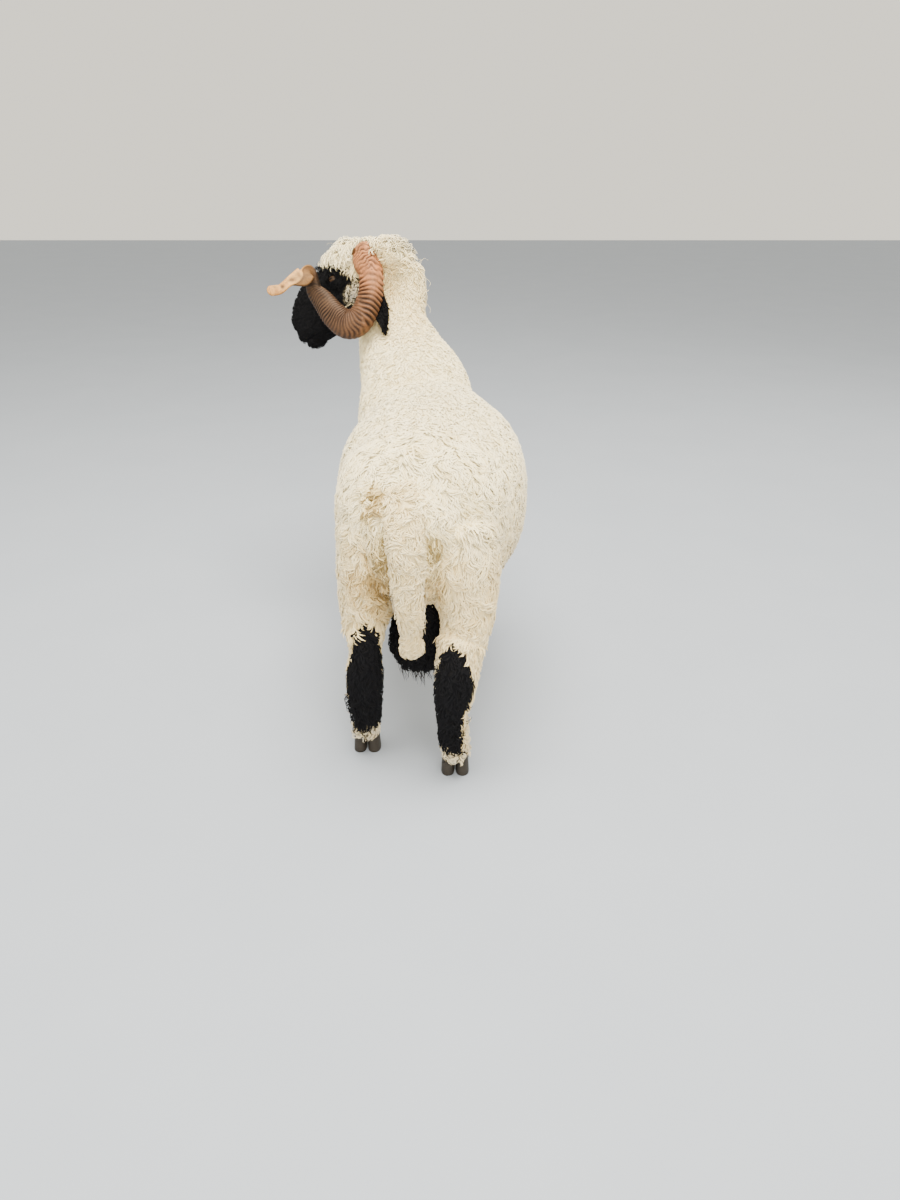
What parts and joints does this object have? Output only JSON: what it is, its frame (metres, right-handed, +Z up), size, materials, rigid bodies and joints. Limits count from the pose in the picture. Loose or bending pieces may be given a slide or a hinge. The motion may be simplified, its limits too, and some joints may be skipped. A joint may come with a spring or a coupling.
{
  "type": "standing blacknose sheep ram",
  "caption": "Life-size still ram in short curly cream fleece, with a black face and legs and spiral horns, head turned to look back over its left side.",
  "frame": {"origin": "middle of the ram's bounding box, on the floor under its hooves", "axes": "+Y along the body towards the chest, +X to the ram's right, +Z up"},
  "size_m": [0.6658, 1.26, 1.1046],
  "materials": {
    "cream_fleece": "matt short curly cream wool",
    "black_fleece": "matt short black wool and fur",
    "horn": "dry tan-brown keratin with cross ridges, paler at the tip",
    "hoof": "dull dark keratin",
    "eye": "wet, smooth, amber-brown"
  },
  "bodies": {
    "root": {"torso": "cream_fleece", "neck": "cream_fleece", "head": "black_fleece", "thigh_left": "cream_fleece", "thigh_right": "cream_fleece", "hind_shank_left": "black_fleece", "hind_shank_right": "black_fleece", "arm_left": "cream_fleece", "arm_right": "cream_fleece", "fore_shank_left": "black_fleece", "fore_shank_right": "black_fleece", "hind_hoof_left": "hoof", "hind_hoof_right": "hoof", "fore_hoof_left": "hoof", "fore_hoof_right": "hoof", "tail": "cream_fleece", "scrotum": "black_fleece", "horn_left": "horn", "horn_right": "horn", "ear_left": "black_fleece", "ear_right": "black_fleece", "eye_left": "eye", "eye_right": "eye"}
  },
  "joints": []
}
